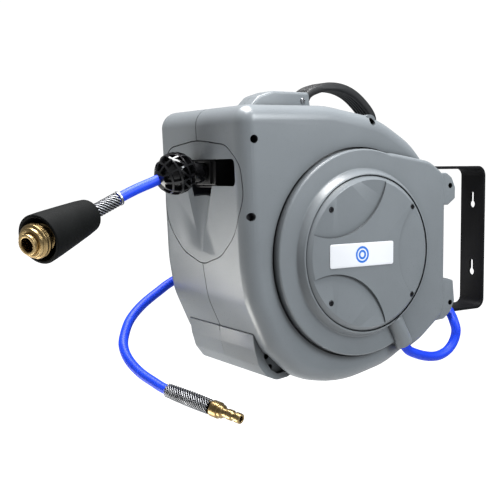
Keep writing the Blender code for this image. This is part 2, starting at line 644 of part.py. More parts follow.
def make_drum(looks, drum, housing):
    """Drum, wound hose, ratchet ring, spring case and the parts on the axle."""
    half = DRUM_HALF_WIDTH
    hub = [(72.4, half), (72.4, -half), (69, -half), (69, -4), (16, -4), (16, -30), (10.1, -30),
           (10.1, 30), (16, 30), (16, 4), (69, 4), (69, half)]
    finish(lathe('drum_hub', hub, SIDE, 24, ring=True), looks['black'], drum)
    for name, sign in (('drum_flange_near', 1), ('drum_flange_far', -1)):
        flange = [(108, 69.2), (109, 68.5), (109, 66.6), (70, 66.6), (70, 69.2)]
        finish(lathe(name, flange, side_frame(sign), 24, ring=True), looks['black'], drum)
    teeth = 24
    outline = []
    for i in range(teeth):
        for share, radius in ((0.0, 84.0), (0.9, 90.0)):
            angle = 2 * math.pi * (i + share) / teeth
            outline.append((radius * math.cos(angle), radius * math.sin(angle)))
    ratchet = slab('ratchet_ring', [outline, circle_outline(72, count=32)], 69.5, 75.5, SIDE)
    finish(ratchet, looks['black'], drum)
    case = [(58, -69.6), (58, -90), (10.3, -90), (10.3, -87.6), (55.6, -87.6), (55.6, -69.6)]
    finish(lathe('spring_case', case, SIDE, 24, ring=True), looks['steel'], drum)
    finish(make_main_spring(), looks['steel'], drum)
    path = []
    steps = 14
    inner_turns = 9
    for i in range(inner_turns * steps + 1):
        angle = 2 * math.pi * i / steps
        path.append((58 - WRAP_PITCH * i / steps, INNER_WRAP_RADIUS * math.cos(angle),
                     INNER_WRAP_RADIUS * math.sin(angle)))
    last_x = path[-1][0]
    outer_steps = 4 * steps + 3
    for i in range(1, outer_steps + 1):
        angle = 2 * math.pi * i / steps
        rise = min(1.0, i / 6)
        radius = INNER_WRAP_RADIUS + (WRAP_RADIUS - INNER_WRAP_RADIUS) * rise
        share = max(0.0, (i - 3) / (outer_steps - 3))
        path.append((last_x + (0 - last_x) * share, radius * math.cos(angle), radius * math.sin(angle)))
    finish(tube('wound_hose', path, HOSE_RADIUS, TOP, 0), looks['hose'], drum)
    axle = [(0, 88), (10, 88), (10, -103), (0, -103)]
    finish(lathe('axle', axle, SIDE, 24), looks['steel'], housing)
    swivel = [(0, 111), (8, 111), (9, 110), (9, 105.4), (12.5, 105.4), (12.5, 104.2), (10, 104.2),
              (10, 88.4), (0, 88.4)]
    body = lathe('swivel_body', swivel, SIDE, 18)
    add(body, lathe('swivel_spigot', [(0, 44.6), (4.5, 44.6), (4.5, 0), (0, 0)], channel_frame(), 16))
    finish(body, looks['brass'], housing)


def make_main_spring():
    """Flat spiral spring wound inside its case."""
    data = bpy.data.curves.new('main_spring', 'CURVE')
    data.dimensions = '2D'
    data.fill_mode = 'NONE'
    data.extrude = 7.2 * MM
    turns = 5
    steps = 12
    spline = data.splines.new('POLY')
    spline.points.add(turns * steps)
    for i, point in enumerate(spline.points):
        radius = 16 + 36 * i / (turns * steps)
        angle = 2 * math.pi * i / steps
        point.co = (radius * math.cos(angle) * MM, radius * math.sin(angle) * MM, 0, 1)
    obj = bpy.data.objects.new('main_spring', data)
    bpy.context.scene.collection.objects.link(obj)
    obj.matrix_world = SIDE @ Matrix.Translation((0, 0, -79 * MM))
    spring = solid_of(obj)
    thick = spring.modifiers.new('Thickness', 'SOLIDIFY')
    thick.thickness = 0.9 * MM
    thick.offset = 0
    return spring


def make_pawl(looks, housing):
    """Pawl beside the ratchet ring, with its pin in the near shell."""
    turn = math.radians(112)
    pivot = Vector((0, 103 * math.cos(turn), 103 * math.sin(turn)))
    body = body_empty('body_pawl', pivot + Vector((72, 0, 0)), housing)
    a, b = pivot.y, pivot.z
    inward = Vector((-a, -b)).normalized()
    cross = Vector((-inward.y, inward.x))

    def spot(forward, sideways):
        place = Vector((a, b)) + inward * forward + cross * sideways
        return place.x, place.y
    outline = [spot(-6, -4), spot(0, -6.5), spot(5, -4), spot(7, 4), spot(10.6, 22), spot(7, 23), spot(0, 12),
               spot(-6, 5)]
    pawl = slab('pawl', [outline, circle_outline(3.15, a, b, 12)], 70.5, 75, SIDE)
    finish(pawl, looks['steel'], body)
    pin_frame = columns((0, 1, 0), (0, 0, 1), (1, 0, 0), pivot)
    pin = lathe('pawl_pin', [(0, 90.6), (3, 90.6), (3, 70), (0, 70)], pin_frame, 16)
    finish(pin, looks['steel'], housing)


def make_label(look, body):
    outline = box_outline(-60.6, 33, -13.6, 13.6, 2.5)
    finish(slab('label', [outline], COVER_FACE + 0.05, COVER_FACE + 0.6, SIDE), look, body)


def make_fixings(looks, housing):
    """Screws of the covers, the shells and the handle."""
    for side, sign in (('near', 1), ('far', -1)):
        for i, (a, b) in enumerate(COVER_SCREWS):
            frame = along((sign * (COVER_FACE - 0.5), a, b), (sign, 0, 0))
            screw = make_screw(f'cover_screw_{side}_{i}', frame, 3.1, 1.9, 1.5, 12, sign > 0)
            finish(screw, looks['dark_steel'], housing)
    for i, (a, b) in enumerate(SHELL_SCREWS):
        frame = along((76, a, b), (1, 0, 0))
        finish(make_screw(f'shell_screw_{i}', frame, 4.2, 3, 2, 5.4), looks['dark_steel'], housing)


def looks_for_reel():
    return {
        'shell': material('shell_plastic', (0.20, 0.225, 0.25), 0.42),
        'black': material('black_plastic', (0.015, 0.015, 0.017), 0.5),
        'ball': material('gloss_black', (0.008, 0.008, 0.009), 0.12),
        'hose': material('blue_hose', (0.012, 0.06, 0.75), 0.3),
        'rubber': material('black_rubber', (0.02, 0.021, 0.023), 0.72),
        'brass': material('brass', (0.72, 0.5, 0.2), 0.28, 1.0),
        'steel': material('bright_steel', (0.5, 0.5, 0.52), 0.3, 1.0),
        'dark_steel': material('dark_steel', (0.06, 0.06, 0.065), 0.35, 1.0),
        'nylon': material('roller_nylon', (0.03, 0.03, 0.032), 0.45),
        'powder': material('black_powder_coat', (0.012, 0.012, 0.013), 0.55),
        'label': material('blank_label', (0.88, 0.88, 0.9), 0.35),
    }


def build():
    looks = looks_for_reel()
    bracket = body_empty('body_bracket', (0, PLATE_BACK, -2))
    housing = body_empty('body_housing', (0, PIVOT_Y, -2), bracket)
    hose_run = body_empty('body_hose_run', (0, -190, EXIT_HEIGHT), housing)
    drum = body_empty('body_drum', (0, 0, 0), housing)
    finish(make_bracket(), looks['powder'], bracket)
    make_pivot(looks['steel'], bracket)
    for side, sign in (('near', 1), ('far', -1)):
        finish(make_shell(f'{side}_shell', sign), looks['shell'], housing)
        finish(make_cover(f'{side}_cover', sign), looks['shell'], housing)
    finish(make_mouth_panel(), looks['shell'], housing)
    finish(make_handle(), looks['black'], housing)
    make_label(looks['label'], housing)
    make_fixings(looks, housing)
    make_guide(looks, housing)
    make_pawl(looks, housing)
    make_drum(looks, drum, housing)
    make_inlet(looks, housing)
    make_ball(looks['ball'], hose_run)
    make_outlet(looks, hose_run)


clear_scene()
CUTTERS = collection('cutters')
REEL = collection('retractable_hose_reel')
build()
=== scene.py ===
"""Looks of a wall-mounted retractable air hose reel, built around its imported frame.

Lengths are in millimetres about the drum's axis, and MM turns them into the frame's metres.
+X is the label side, -Y points away from the wall, +Z is up.
"""
import json
import math

import bmesh
import bpy
from mathutils import Matrix, Vector


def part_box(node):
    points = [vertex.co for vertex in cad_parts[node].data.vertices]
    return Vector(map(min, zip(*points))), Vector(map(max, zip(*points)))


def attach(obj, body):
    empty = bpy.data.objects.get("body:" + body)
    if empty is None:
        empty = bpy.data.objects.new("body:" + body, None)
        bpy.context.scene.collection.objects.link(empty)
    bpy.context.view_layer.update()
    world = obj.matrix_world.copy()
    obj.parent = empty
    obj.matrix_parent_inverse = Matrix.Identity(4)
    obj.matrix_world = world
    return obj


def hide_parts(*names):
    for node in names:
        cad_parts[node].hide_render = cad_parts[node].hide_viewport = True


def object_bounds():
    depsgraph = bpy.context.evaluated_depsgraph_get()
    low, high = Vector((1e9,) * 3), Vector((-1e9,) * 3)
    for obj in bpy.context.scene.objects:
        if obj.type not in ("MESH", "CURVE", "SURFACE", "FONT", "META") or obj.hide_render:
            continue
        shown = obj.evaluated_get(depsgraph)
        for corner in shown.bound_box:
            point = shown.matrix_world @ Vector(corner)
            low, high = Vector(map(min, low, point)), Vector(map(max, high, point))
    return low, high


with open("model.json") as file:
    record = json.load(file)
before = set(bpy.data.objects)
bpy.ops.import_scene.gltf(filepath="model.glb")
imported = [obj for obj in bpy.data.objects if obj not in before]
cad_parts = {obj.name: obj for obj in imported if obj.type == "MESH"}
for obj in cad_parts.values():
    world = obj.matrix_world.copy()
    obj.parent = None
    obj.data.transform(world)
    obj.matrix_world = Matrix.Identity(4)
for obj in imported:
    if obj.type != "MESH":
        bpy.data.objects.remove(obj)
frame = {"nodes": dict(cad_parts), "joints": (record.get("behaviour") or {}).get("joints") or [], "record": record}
cad_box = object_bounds()

MM = 0.001
JOINTS = {joint["name"]: joint for joint in frame["joints"]}
DRUM_AXIS = Vector(JOINTS["drum_spin"]["pos_m"])
PIVOT_Y = (JOINTS["reel_swivel"]["pos_m"][1] - DRUM_AXIS.y) / MM
BODY_OF = {node: body for body, nodes in frame["record"]["behaviour"]["bodies"].items() for node in nodes}
SLOT_OF = {part["node"]: part["material_slot"] for part in frame["record"]["subparts"]}

# Housing
HALF_WIDTH = 98.0
EDGE = 18.0
EDGE_STEPS = 8
WALL = 4.0
SEAM = 0.15
CAVITY_HALF = 87.0
PLATEAU = 107.5
PAD_RADIUS = 121.0
DISC_FACE = 116.4
COVER_FACE = 120.0
COVER_RADIUS = 90.4
COVER_SEAT_RADIUS = 91.2
DRUM_BAY_RADIUS = 110.0
AXLE_BORE_RADIUS = 10.2
POST_RADIUS = 8.5
SHELL_HOLE_RADIUS = 4.6
LUG_HOLE_RADIUS = 3.4
FOOT_HALF_WIDTH = 73.0
FOOT_WEB = 69.0
FOOT_HOLE_RADIUS = 3.3
PANEL_SET_BACK = 0.3
PANEL_GAP = 1.1
HOUSING = [(-163.5, 168.5, 20), (-40, 170.5, 120), (36, 158.5, 120), (88, 129.5, 100), (139, 76, 34),
           (139, -83, 30), (95, -118, 80), (48, -142, 100), (-20, -156, 150), (-85, -143, 100),
           (-124, -106, 60), (-149, -52, 80), (-156, -10, 100)]
REAR_PAD = [(0, 112, 0), (42, 116.5, 60), (105, 106.5, 40), (131, 90, 22), (131, -83, 22), (92, -112, 60),
            (66, -124, 6), (30, -98, 0)]
MOUTH = [(0, 133, 120), (64, 126, 30), (88.5, 107, 26), (91.5, 66, 60), (76, 26, 60), (44, 0, 50),
         (0, -13, 40), (-44, 0, 50), (-76, 26, 60), (-91.5, 66, 60), (-88.5, 107, 26), (-64, 126, 30)]
WINDOW_HALF_WIDTH = 80.0
WINDOW_LOW = 80.0
WINDOW_HIGH = 110.0
SHELL_SCREWS = [(-146, 131), (23, 153)]
EDGE_SCREW = (-149, 47)
LUG_SCREWS = [(140, 76), (142, -71)]
COVER_SCREWS = [(-58, 52.7), (64, 52.7), (-58, -52.7), (64, -52.7)]
HANDLE_SPINE = [(-13, 183), (-8, 190), (3, 195.5), (22, 200), (44, 199), (64, 192), (82, 179),
                (94, 165), (96, 150)]

# Swivelling wall bracket
ROD_RADIUS = 6.0
BARREL_RADIUS = 14.0
BARREL_LOW = -95.0
BARREL_HIGH = 92.0
STRAP = 4.0
STRAP_HALF_WIDTH = 21.5
PLATE_BACK = -DRUM_AXIS.y / MM
ARM_TOP = 100.0
ARM_BOTTOM = -103.0
KEYHOLES = (45.5, -52.0)

# Hose
HOSE_RADIUS = 6.0
EXIT_HEIGHT = 95.0
CHANNEL_BORE_RADIUS = 7.5
BALL_RADIUS = 24.5
BALL_CENTRE = Vector((0, -190, 94.5))
CHANNEL_ANGLE = math.radians(-61)
CHANNEL_X = 107.0
OUTLET_PATH = [(0, -1, 95), (0, -60, 95), (0, -120, 95), (0, -172, 95), (0, -190, 94.3), (0, -204, 91),
               (0, -218, 85.4), (2, -238, 78.5), (4, -254, 72.2), (5.4, -266, 66.8), (8.5, -298, 52.3),
               (12.5, -306.5, 49.6)]
COUPLER_START = Vector((8.5, -298, 52.3))
COUPLER_AXIS = -Vector(JOINTS["release_sleeve_slide"]["axis"]).normalized()
GUARD_START = Vector((5.4, -266, 66.8))
INLET_PATH = [(107, 45, -81.2), (107, 58, -104.6), (107, 62, -111.9), (107, 65.3, -117.8),
              (107.5, 71, -123.8), (108, 80, -128.2),
              (108, 94, -133), (108, 109, -136), (108, 122, -136), (108, 134, -132.5), (108, 143.5, -125.5),
              (108, 149.5, -116), (108, 151, -106), (104, 151.5, -97), (96, 155, -90), (84, 161, -85),
              (66, 173, -80), (42, 186, -78), (18, 194, -77), (0, 196, -77), (-18, 194, -77),
              (-42, 187, -78), (-66, 178, -80), (-92, 168, -83), (-113, 157, -83),
              (-127, 136, -80), (-134, 96, -66),
              (-136, 45, -46), (-136, -10, -34), (-133, -60, -31), (-127, -103, -37), (-120, -134, -47),
              (-116, -153, -56), (-110, -182, -72), (-102, -203, -88), (-91, -216, -104), (-79, -223, -116),
              (-64, -223.5, -129), (-48, -217, -142), (-32, -207, -152), (-12, -198, -159.5),
              (34, -180, -167.6)]
PLUG_START = Vector((34, -180, -167.6))

# Fineness of round shapes
ARC = 5
ROUND = 128
SMALL_ROUND = 64


def columns(x_axis, y_axis, z_axis, origin=(0, 0, 0)):
    """Placement with the given local axes, its origin in millimetres from the drum's axis."""
    turn = Matrix((Vector(x_axis), Vector(y_axis), Vector(z_axis))).transposed().to_4x4()
    return Matrix.Translation(DRUM_AXIS + Vector(origin) * MM) @ turn


SIDE = columns((0, 1, 0), (0, 0, 1), (1, 0, 0))
FAR_SIDE = columns((0, 1, 0), (0, 0, -1), (-1, 0, 0))
FRONT = columns((1, 0, 0), (0, 0, 1), (0, -1, 0))
TOP = columns((1, 0, 0), (0, 1, 0), (0, 0, 1))


def along(origin, direction):
    """Placement whose local +Z runs along a direction from an origin."""
    turn = Vector(direction).to_track_quat('Z', 'Y').to_matrix().to_4x4()
    return Matrix.Translation(DRUM_AXIS + Vector(origin) * MM) @ turn


def corner(before, point, after, radius, step_degrees=ARC):
    """Points of the arc that rounds one corner of an outline."""
    point = Vector(point)
    inward = Vector(before) - point
    outward = Vector(after) - point
    half = inward.angle(outward) / 2
    if radius <= 0 or half > math.radians(89.5):
        return [tuple(point)]
    reach = min(radius / math.tan(half), 0.48 * inward.length, 0.48 * outward.length)
    radius = reach * math.tan(half)
    middle = point + (inward.normalized() + outward.normalized()).normalized() * radius / math.sin(half)
    start = point + inward.normalized() * reach - middle
    end = point + outward.normalized() * reach - middle
    sweep = start.angle_signed(end)
    count = max(1, round(abs(math.degrees(sweep)) / step_degrees))
    turned = []
    for i in range(count + 1):
        angle = -sweep * i / count
        turned.append((middle.x + start.x * math.cos(angle) - start.y * math.sin(angle),
                       middle.y + start.x * math.sin(angle) + start.y * math.cos(angle)))
    return turned


def rounded(points, step_degrees=ARC):
    """Outline through (a, b, radius) corners, each rounded by its own radius."""
    outline = []
    for i, (a, b, radius) in enumerate(points):
        before = points[i - 1][:2]
        after = points[(i + 1) % len(points)][:2]
        outline += corner(before, (a, b), after, radius, step_degrees)
    return outline


def softened(points, radius, step_degrees=15):
    """Open profile whose inner corners are all rounded by one radius."""
    profile = [points[0]]
    for before, point, after in zip(points, points[1:], points[2:]):
        profile += corner(before, point, after, radius, step_degrees)
    return profile + [points[-1]]


def ring_profile(points, radius, step_degrees=15):
    """Closed profile with every corner rounded by one radius."""
    return rounded([(a, b, radius) for a, b in points], step_degrees)


def box_outline(low_a, high_a, low_b, high_b, radius=0.0, step_degrees=10):
    """Outline of a rectangle between its limits, its corners rounded by one radius."""
    return rounded([(low_a, low_b, radius), (high_a, low_b, radius), (high_a, high_b, radius),
                    (low_a, high_b, radius)], step_degrees)


def circle_outline(radius, a=0.0, b=0.0, count=48):
    """Outline of a circle about (a, b)."""
    turns = [2 * math.pi * (i + 0.37) / count for i in range(count)]
    return [(a + radius * math.cos(turn), b + radius * math.sin(turn)) for turn in turns]


def mesh_object(name, mesh, placement=None):
    """Object in the scene that holds a mesh."""
    made = bpy.data.objects.new(name, mesh)
    bpy.context.scene.collection.objects.link(made)
    if placement is not None:
        made.matrix_world = placement
    return made


def evaluated_mesh(obj):
    """Mesh of an object with its modifiers worked out."""
    bpy.context.view_layer.update()
    return bpy.data.meshes.new_from_object(obj.evaluated_get(bpy.context.evaluated_depsgraph_get()))


def solid_of(curve_object):
    """Closed mesh object made from a curve object, which it replaces."""
    mesh = evaluated_mesh(curve_object)
    work = bmesh.new()
    work.from_mesh(mesh)
    bmesh.ops.remove_doubles(work, verts=work.verts, dist=1e-6)
    bmesh.ops.recalc_face_normals(work, faces=work.faces)
    work.to_mesh(mesh)
    work.free()
    name = curve_object.name
    placement = curve_object.matrix_world.copy()
    bpy.data.objects.remove(curve_object, do_unlink=True)
    mesh.name = name
    return mesh_object(name, mesh, placement)


def slab(name, outlines, low, high, place, edge=0.0, edge_steps=4, grow=0.0):
    """Plate bounded by closed outlines between two depths, its edges rounded by edge."""
    data = bpy.data.curves.new(name, 'CURVE')
    data.dimensions = '2D'
    data.fill_mode = 'BOTH'
    data.extrude = ((high - low) / 2 - edge) * MM
    data.bevel_depth = edge * MM
    data.bevel_resolution = edge_steps
    data.offset = (grow - edge) * MM
    for outline in outlines:
        spline = data.splines.new('POLY')
        spline.points.add(len(outline) - 1)
        for point, (a, b) in zip(spline.points, outline):
            point.co = (a * MM, b * MM, 0.0, 1.0)
        spline.use_cyclic_u = True
    obj = bpy.data.objects.new(name, data)
    bpy.context.scene.collection.objects.link(obj)
    obj.matrix_world = place @ Matrix.Translation((0, 0, (low + high) / 2 * MM))
    return solid_of(obj)


def lathe(name, profile, place, steps=SMALL_ROUND, ring=False):
    """Turned solid from (radius, height) points that run down its outer side."""
    mesh = bpy.data.meshes.new(name)
    verts = [(radius * MM, 0.0, height * MM) for radius, height in profile]
    edges = [(i, i + 1) for i in range(len(profile) - 1)]
    if ring:
        edges.append((len(profile) - 1, 0))
    mesh.from_pydata(verts, edges, [])
    obj = mesh_object(name, mesh, place)
    turn = obj.modifiers.new('Turn', 'SCREW')
    turn.axis = 'Z'
    turn.angle = 2 * math.pi
    turn.steps = steps
    turn.render_steps = steps
    turn.use_merge_vertices = True
    turn.merge_threshold = 0.00001
    obj.data = evaluated_mesh(obj)
    obj.modifiers.clear()
    return obj


def smooth_path(points, steps=8):
    """Catmull-Rom curve through the points, with a number of steps for each span."""
    knots = [Vector(point) for point in points]
    knots = [knots[0] * 2 - knots[1]] + knots + [knots[-1] * 2 - knots[-2]]
    path = []
    for i in range(1, len(knots) - 2):
        a, b, c, d = knots[i - 1:i + 3]
        for k in range(steps):
            t = k / steps
            path.append(0.5 * (2 * b + (c - a) * t + (2 * a - 5 * b + 4 * c - d) * t ** 2
                               + (3 * b - a - 3 * c + d) * t ** 3))
    path.append(knots[-2])
    return path


def tube(name, paths, radius, place=TOP, resolution=6):
    """Round rods along paths of points, closed at both ends."""
    data = bpy.data.curves.new(name, 'CURVE')
    data.dimensions = '3D'
    data.bevel_depth = radius * MM
    data.bevel_resolution = resolution
    data.use_fill_caps = True
    for path in paths:
        spline = data.splines.new('POLY')
        spline.points.add(len(path) - 1)
        for spot, point in zip(spline.points, path):
            spot.co = (*(Vector(point) * MM), 1.0)
    obj = bpy.data.objects.new(name, data)
    bpy.context.scene.collection.objects.link(obj)
    obj.matrix_world = place
    return solid_of(obj)


def boolean(obj, other, operation):
    """Change obj by another solid, which is then removed."""
    change = obj.modifiers.new(operation.title(), 'BOOLEAN')
    change.operation = operation
    change.solver = 'EXACT'
    change.object = other
    obj.data = evaluated_mesh(obj)
    obj.modifiers.clear()
    bpy.data.objects.remove(other, do_unlink=True)


def add(obj, other):
    """Join another solid to obj."""
    boolean(obj, other, 'UNION')


def cut(obj, other):
    """Cut another solid out of obj."""
    boolean(obj, other, 'DIFFERENCE')


def keep(obj, other):
    """Keep only what obj shares with another solid."""
    boolean(obj, other, 'INTERSECT')


def signed(low, high, sign):
    """Two depths measured towards the near side (1) or the far side (-1), in rising order."""
    return sorted((low * sign, high * sign))


def side_frame(sign):
    """Frame of the near side or of the far side."""
    return SIDE if sign > 0 else FAR_SIDE


def channel_frame():
    """Frame of the channel that the inlet hose leaves the label side through."""
    return along((CHANNEL_X, 0, 0), (0, math.cos(CHANNEL_ANGLE), math.sin(CHANNEL_ANGLE)))


def shade(obj, smooth_angle):
    """Smooth shading with sharp edges above an angle in degrees."""
    obj.data.shade_smooth()
    obj.data.set_sharp_from_angle(angle=math.radians(smooth_angle))


def settle(obj):
    """Move an object's placement into its mesh, so that its box lies square in the frame."""
    obj.data.transform(obj.matrix_world)
    obj.matrix_world = Matrix()


def stand_in(obj, node, smooth_angle=30):
    """Show obj in place of a CAD node, on that node's body and with its finish."""
    settle(obj)
    shade(obj, smooth_angle)
    dress(obj, SLOT_OF[node])
    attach(obj, BODY_OF[node])
    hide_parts(node)
    return obj


def extra(obj, body, slot, smooth_angle=30):
    """Show an added detail that has no CAD node of its own."""
    settle(obj)
    shade(obj, smooth_angle)
    dress(obj, slot)
    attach(obj, body)
    return obj


def dress(obj, slot):
    """Give an object the finish of a material slot."""
    obj.data.materials.clear()
    obj.data.materials.append(LOOKS[slot])


# ---------------------------------------------------------------- housing

def add_rear_barrel(shell):
    """Vertical barrel behind the shell that the bracket's rod runs through."""
    web = slab('web', [box_outline(-9, 9, 120, PIVOT_Y)], BARREL_LOW + 3, BARREL_HIGH - 3, TOP)
    profile = softened([(0, BARREL_HIGH), (BARREL_RADIUS, BARREL_HIGH),
                        (BARREL_RADIUS, BARREL_LOW), (0, BARREL_LOW)], 1.0)
    barrel = lathe('barrel', profile, columns((1, 0, 0), (0, 1, 0), (0, 0, 1), (0, PIVOT_Y, 0)))
    add(shell, web)
    add(shell, barrel)


def add_top_bosses(shell):
    """Bosses on the seam that hold the two ends of the handle."""
    front = [(-103, 160, 0), (-97, 174, 8), (-86, 185, 12), (-66, 191.5, 14), (-12, 191.5, 4), (-8, 160, 0)]
    rear = [(62, 126, 0), (76, 154, 6), (118, 152, 6), (124, 100, 0)]
    add(shell, slab('front_boss', [rounded(front)], -17, 17, SIDE, 3.0))
    add(shell, slab('rear_boss', [rounded(rear)], -15, 15, SIDE, 2.5))


def add_front_foot(shell, sign):
    """Block across the lower front with pockets for two clamping screws at each end."""
    foot = [(-120, -84, 0), (-134, -87, 1.5), (-131.5, -106, 20), (-126, -124, 14), (-115, -138, 10),
            (-101, -144, 14), (-84, -142, 10), (-60, -120, 0)]
    pocket = [(-121, -101, 2), (-118, -118, 8), (-109, -131, 6), (-100, -136.5, 6), (-88, -135, 6),
              (-95, -118, 2), (-112, -98, 2)]
    add(shell, slab('foot', [rounded(foot)], -FOOT_HALF_WIDTH, FOOT_HALF_WIDTH, SIDE, 1.2, 3))
    low, high = signed(FOOT_WEB, 80, sign)
    cut(shell, slab('pocket', [rounded(pocket)], low, high, SIDE))
    low, high = signed(50, FOOT_WEB + 1, sign)
    holes = [circle_outline(FOOT_HOLE_RADIUS, a, b) for a, b in ((-113.5, -115.5), (-108.5, -128))]
    cut(shell, slab('foot_holes', holes, low, high, SIDE))


def add_screw_holes(shell, sign):
    """Deep screw holes, in posts and in the rear lugs."""
    posts = [circle_outline(POST_RADIUS, a, b) for a, b in SHELL_SCREWS]
    holes = [circle_outline(SHELL_HOLE_RADIUS, a, b) for a, b in SHELL_SCREWS]
    edge_hole = [circle_outline(SHELL_HOLE_RADIUS, *EDGE_SCREW)]
    lug_holes = [circle_outline(LUG_HOLE_RADIUS, a, b) for a, b in LUG_SCREWS]
    low, high = signed(0, 90, sign)
    add(shell, slab('posts', posts, low, high, SIDE))
    for name, outlines, floor in (('holes', holes, 70), ('edge_hole', edge_hole, 84),
                                  ('lug_holes', lug_holes, 82)):
        low, high = signed(floor, 115, sign)
        cut(shell, slab(name, outlines, low, high, SIDE))


def cut_seam_groove(shell):
    """Shallow groove along the joint of the two halves."""
    groove = slab('seam_groove', [rounded(HOUSING)], -0.55, 0.55, SIDE, grow=3)
    cut(groove, slab('seam_core', [rounded(HOUSING)], -2, 2, SIDE, grow=-0.8))
    cut(shell, groove)


def make_shell(name, sign):
    """One half of the housing, from the seam outwards."""
    shell = slab(name, [rounded(HOUSING)], -HALF_WIDTH, HALF_WIDTH, SIDE, EDGE, EDGE_STEPS)
    place = side_frame(sign)
    disc = softened([(0, DISC_FACE), (92.8, DISC_FACE), (98, PLATEAU), (PAD_RADIUS, PLATEAU),
                     (PAD_RADIUS, 84), (0, 84)], 2.2)
    add(shell, lathe('disc', disc, place, ROUND))
    groove_radius = PAD_RADIUS + 2.4
    groove = [(groove_radius, 110), (groove_radius, 94), (PAD_RADIUS, 94), (PAD_RADIUS, 110)]
    cut(shell, lathe('groove', groove, place, ROUND, ring=True))
    low, high = signed(60, PLATEAU - 0.06, sign)
    add(shell, slab('rear_pad', [rounded(REAR_PAD)], low, high, SIDE, 5.0, 5))
    lugs = [[(118, 92, 0), (134, 92, 6), (143, 86, 7), (149, 74, 4), (149, 60, 3), (137, 52, 0),
             (118, 52, 0)],
            [(118, -40, 0), (137, -40, 0), (147, -43, 3), (150, -70, 5), (143, -83, 6), (132, -91, 6),
             (118, -92, 0)]]
    low, high = signed(60, PLATEAU - 1.4, sign)
    add(shell, slab('lugs', [rounded(lug) for lug in lugs], low, high, SIDE, 1.5, 3))
    low, high = signed(104, 130, sign)
    cut(shell, slab('seat', [circle_outline(COVER_SEAT_RADIUS, count=ROUND)], low, high, SIDE))
    add_rear_barrel(shell)
    add_top_bosses(shell)
    add_front_foot(shell, sign)
    cut(shell, slab('cavity', [rounded(HOUSING, 20)], -CAVITY_HALF, CAVITY_HALF, SIDE, grow=-WALL))
    cut(shell, slab('bay', [circle_outline(DRUM_BAY_RADIUS)], -96, 96, SIDE))
    cut(shell, slab('axle_bore', [circle_outline(AXLE_BORE_RADIUS)], -110, 110, SIDE))
    add_screw_holes(shell, sign)
    cut_seam_groove(shell)
    cut(shell, slab('mouth', [rounded(MOUTH)], 120, 200, FRONT))
    cut(shell, slab('handle_slots', [box_outline(-19, -6, 176, 196), box_outline(84, 106, 140, 170)],
                    -13.6, 13.6, SIDE))
    if sign > 0:
        channel = softened([(0, 131), (11, 131), (11, 91.5), (0, 91.5)], 1.6)
        add(shell, lathe('channel', channel, channel_frame()))
        cut(shell, slab('hose_bore', [circle_outline(CHANNEL_BORE_RADIUS)], 8, 165, channel_frame()))
    cut(shell, slab('rod_bore', [circle_outline(ROD_RADIUS + 0.08, 0, PIVOT_Y)], -120, 120, TOP))
    low, high = signed(SEAM, 160, sign)
    keep(shell, slab('half', [box_outline(-260, 260, -260, 260)], low, high, SIDE))
    return shell


def make_mouth_panel():
    """Panel let into the front of both halves, with the outlet window and the scoop below it."""
    reach = HALF_WIDTH - PANEL_SET_BACK
    panel = slab('panel_front', [rounded(HOUSING)], -reach, reach, SIDE, EDGE, EDGE_STEPS,
                 grow=-PANEL_SET_BACK)
    cut(panel, slab('panel_cavity', [rounded(HOUSING, 20)], -CAVITY_HALF, CAVITY_HALF, SIDE, grow=-WALL))
    centre_top = Vector((0, -198, 80))
    centre_low = Vector((0, -157.5, -8))
    rise = centre_top - centre_low
    place = along(centre_low, rise)
    length = rise.length
    back = lathe('scoop_back', [(0, length - 30), (42.5, length - 30), (5.5, -5), (0, -5)], place)
    keep(back, slab('scoop_back_trim', [rounded(HOUSING)], -80, 80, SIDE, grow=-1.3))
    add(panel, back)
    cut(panel, lathe('scoop', [(0, length * 1.1), (60.5, length * 1.1), (0.4, 0), (0, 0)],
                     place @ Matrix.Rotation(math.radians(4), 4, 'Z'), 96))
    window = box_outline(-WINDOW_HALF_WIDTH, WINDOW_HALF_WIDTH, WINDOW_LOW, WINDOW_HIGH, 6)
    cut(panel, slab('window', [window], 110, 210, FRONT))
    keep(panel, slab('panel_edge', [rounded(MOUTH)], 128, 190, FRONT, grow=-PANEL_GAP))
    return panel


def make_cover(name, sign):
    """Round cover with three sunken lens-shaped areas on its face."""
    rim = COVER_RADIUS
    profile = softened([(0, COVER_FACE), (84.6, COVER_FACE), (rim, 115.2), (rim, 104.4),
                        (87.4, 104.4), (87.4, 113.6), (0, 113.6)], 1.8)
    cover = lathe(name, profile, side_frame(sign), ROUND)
    lenses = (('upper', 118.8, 114.1, 79.5, 3.4), ('lower', 241.2, 114.1, 79.5, 3.4),
              ('side', 0, 114.6, 72.6, 1.3))
    for tag, angle, reach, radius, depth in lenses:
        turn = math.radians(angle)
        away = Vector((0, math.cos(turn), math.sin(turn)))
        near_edge = reach - radius
        slope = depth / (84 - near_edge)
        normal = (Vector((sign, 0, 0)) - away * slope).normalized()
        origin = away * reach + Vector((sign, 0, 0)) * (COVER_FACE - depth + slope * radius)
        lens = [(0, 20), (radius + 0.8, 20), (radius, 0), (0, 0)]
        cut(cover, lathe(f'{name}_{tag}', lens, along(origin, normal), ROUND))
    low, high = signed(COVER_FACE - 2.6, COVER_FACE + 5, sign)
    cut(cover, slab('sinks', [circle_outline(3.5, a, b) for a, b in COVER_SCREWS], low, high, SIDE))
    low, high = signed(100, COVER_FACE, sign)
    cut(cover, slab('drills', [circle_outline(1.7, a, b, 24) for a, b in COVER_SCREWS], low, high, SIDE))
    if sign > 0:
        cut(cover, slab('notch', [circle_outline(6.5)], 30, 100, channel_frame()))
    return cover


